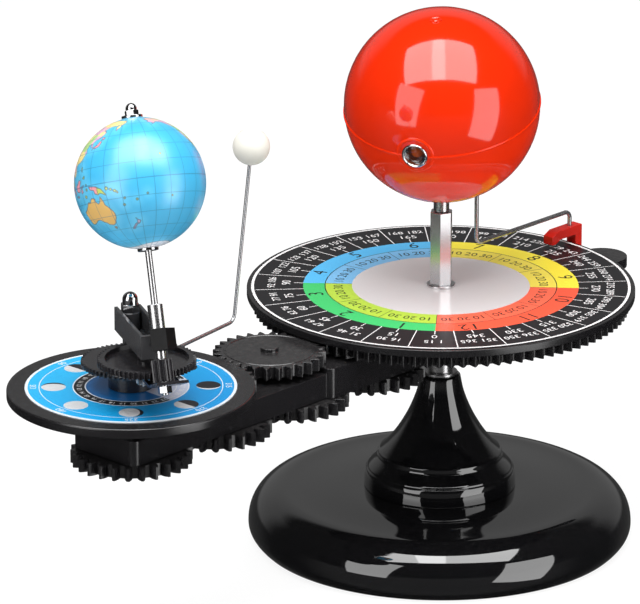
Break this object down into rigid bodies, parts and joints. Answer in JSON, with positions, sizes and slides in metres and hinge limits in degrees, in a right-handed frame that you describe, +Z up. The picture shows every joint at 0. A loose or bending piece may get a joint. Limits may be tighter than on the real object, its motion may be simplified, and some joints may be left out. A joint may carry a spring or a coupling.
{
  "type": "tellurion",
  "caption": "Geared teaching tellurion: a tilted spinning Earth and a Moon on a wire circle a lit Sun globe on a swinging arm over a calendar disc, on a weighted round base",
  "frame": {"origin": "Middle of the flat underside of the base, on the post's axis.", "axes": "+Z is up along the post. The arm with the Earth points along -X at rest and its tail along +X, so X is also the longest extent. +Y completes a right-handed frame."},
  "size_m": [0.4656, 0.218, 0.3137],
  "materials": {
    "black_gloss": "polished black moulding",
    "black_plastic": "satin black moulding",
    "iron": "raw casting",
    "chrome": "bright plating",
    "steel": "turned steel",
    "brass": "turned brass",
    "sun_orange": "glossy translucent orange",
    "pale_plastic": "pale moulding",
    "clear_glass": "clear",
    "calendar_print": "printed film with plain numbers",
    "phase_print": "printed film with moon phases",
    "globe_print": "printed globe",
    "moon_white": "off-white ball",
    "pointer_red": "red moulding",
    "charcoal_plastic": "satin charcoal moulding",
    "cell_wrap": "plain wrapped cells"
  },
  "bodies": {
    "stand": {"base_shell": "black_gloss", "base_cover": "black_plastic", "base_screws": "steel", "base_weight": "iron", "battery_tray": "black_plastic", "battery_cells": "cell_wrap", "battery_door": "black_plastic", "switch_body": "black_plastic", "pedestal": "black_gloss", "main_post": "steel", "post_nut": "steel", "post_washers": "chrome", "post_collar": "chrome", "center_gear": "black_plastic", "calendar_disc": "black_plastic", "calendar_label": "calendar_print", "hex_post": "chrome", "lamp_neck": "steel", "lamp_socket": "pale_plastic", "lamp_bulb": "clear_glass"},
    "switch": {"switch_slider": "pale_plastic"},
    "arm": {"arm_housing": "black_plastic", "arm_cover": "black_plastic", "arm_screws": "steel", "arm_bushes": "brass", "axle_pins": "black_plastic", "plate_pillars": "black_plastic", "phase_plate": "black_plastic", "phase_label": "phase_print", "date_pointer": "pointer_red", "sun_wire": "chrome", "sun_upper_shell": "sun_orange", "sun_lower_shell": "sun_orange", "sun_bearing": "pale_plastic", "lens_ring": "chrome", "sun_lens": "clear_glass"},
    "chain_a": {"chain_gear_a": "black_plastic"},
    "chain_b": {"chain_gear_b": "black_plastic"},
    "chain_c": {"chain_gear_c": "black_plastic"},
    "idler_top": {"top_idler": "black_plastic"},
    "idler_hidden": {"hidden_idler": "black_plastic"},
    "moon": {"moon_sleeve": "black_plastic", "month_gear": "black_plastic", "moon_wire": "chrome", "moon_ball": "moon_white"},
    "earth_stage": {"stage_gear": "black_plastic", "central_shaft": "steel", "stage_plate": "black_plastic", "tilt_bracket": "charcoal_plastic", "bracket_nut": "chrome", "bearing_block": "black_plastic", "shaft_tube": "chrome"},
    "relay": {"relay_gear": "black_plastic", "relay_pinion": "brass"},
    "earth": {"earth_shaft": "chrome", "earth_pinion": "black_plastic", "earth_washers": "chrome", "earth_nuts": "chrome", "globe_south": "globe_print", "globe_north": "globe_print"}
  },
  "joints": [
    {"name": "arm_orbit", "type": "hinge", "parent": "stand", "child": "arm", "pos_m": [0, 0, 0.125], "axis": [0, 0, 1], "continuous": true},
    {"name": "chain_a_spin", "type": "hinge", "parent": "arm", "child": "chain_a", "pos_m": [-0.06157, 0, 0.114], "axis": [0, 0, 1], "continuous": true},
    {"name": "chain_b_spin", "type": "hinge", "parent": "arm", "child": "chain_b", "pos_m": [-0.12315, 0, 0.114], "axis": [0, 0, 1], "continuous": true},
    {"name": "chain_c_spin", "type": "hinge", "parent": "arm", "child": "chain_c", "pos_m": [-0.18472, 0, 0.114], "axis": [0, 0, 1], "continuous": true},
    {"name": "stage_turn", "type": "hinge", "parent": "arm", "child": "earth_stage", "pos_m": [-0.24629, 0, 0.125], "axis": [0, 0, 1], "continuous": true},
    {"name": "idler_top_spin", "type": "hinge", "parent": "arm", "child": "idler_top", "pos_m": [-0.13323, 0.00558, 0.14], "axis": [0, 0, 1], "continuous": true},
    {"name": "idler_hidden_spin", "type": "hinge", "parent": "arm", "child": "idler_hidden", "pos_m": [-0.20043, 0.00558, 0.14], "axis": [0, 0, 1], "continuous": true},
    {"name": "moon_orbit", "type": "hinge", "parent": "arm", "child": "moon", "pos_m": [-0.24629, 0, 0.15], "axis": [0, 0, 1], "continuous": true},
    {"name": "relay_spin", "type": "hinge", "parent": "earth_stage", "child": "relay", "pos_m": [-0.26135, -0.02716, 0.175], "axis": [0, 0, 1], "continuous": true},
    {"name": "earth_spin", "type": "hinge", "parent": "earth_stage", "child": "earth", "pos_m": [-0.27643, -0.05437, 0.1803], "axis": [0.1933, 0.3488, 0.9171], "continuous": true},
    {"name": "switch_slide", "type": "slide", "parent": "stand", "child": "switch", "axis": [1, 0, 0], "range_m": [0, 0.0042]}
  ],
  "couplings": [
    {"joint": "chain_a_spin", "follows": "arm_orbit", "ratio": 1},
    {"joint": "chain_b_spin", "follows": "arm_orbit", "ratio": -1},
    {"joint": "chain_c_spin", "follows": "arm_orbit", "ratio": 1},
    {"joint": "stage_turn", "follows": "arm_orbit", "ratio": -1},
    {"joint": "idler_top_spin", "follows": "arm_orbit", "ratio": 3.5357},
    {"joint": "idler_hidden_spin", "follows": "arm_orbit", "ratio": -2.75},
    {"joint": "moon_orbit", "follows": "arm_orbit", "ratio": 12.375},
    {"joint": "relay_spin", "follows": "arm_orbit", "ratio": -70.523},
    {"joint": "earth_spin", "follows": "arm_orbit", "ratio": 365.44}
  ]
}
